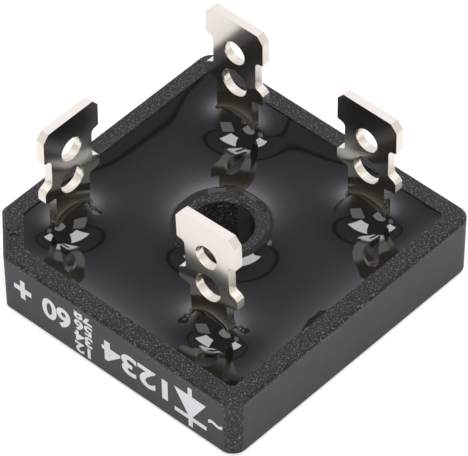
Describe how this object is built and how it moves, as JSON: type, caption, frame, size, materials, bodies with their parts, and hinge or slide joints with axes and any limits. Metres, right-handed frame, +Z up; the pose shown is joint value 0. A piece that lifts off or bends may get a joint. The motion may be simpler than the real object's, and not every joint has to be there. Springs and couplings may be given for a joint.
{
  "type": "bridge rectifier",
  "caption": "Square screw-mount bridge rectifier: a black moulded cup filled with casting resin, upright tinned push-on tabs and a central screw sleeve.",
  "frame": {"origin": "on the axis of the screw hole, in the plane of the case's flat base", "axes": "+Z up out of the resin along the tabs; +X and +Y along the case's sides, away from the corner with the positive tab"},
  "size_m": [0.0286, 0.0286, 0.0174],
  "materials": {
    "case": "moulded black plastic with a fine grain on the rim and smoother sides",
    "resin": "poured black epoxy, very glossy",
    "tin": "bright tin plate on stamped sheet",
    "silicon": "polished silicon, sealed inside the resin",
    "solder": "soft solder, sealed inside the resin"
  },
  "bodies": {
    "root": {"case": "case", "casting_resin": "resin", "tab_plus": "tin", "tab_minus": "tin", "tab_ac_front": "tin", "tab_ac_back": "tin", "die_front": "silicon", "die_left": "silicon", "die_right": "silicon", "die_back": "silicon", "solder_front_lower": "solder", "solder_front_upper": "solder", "solder_left_lower": "solder", "solder_left_upper": "solder", "solder_right_lower": "solder", "solder_right_upper": "solder", "solder_back_lower": "solder", "solder_back_upper": "solder"}
  },
  "joints": []
}
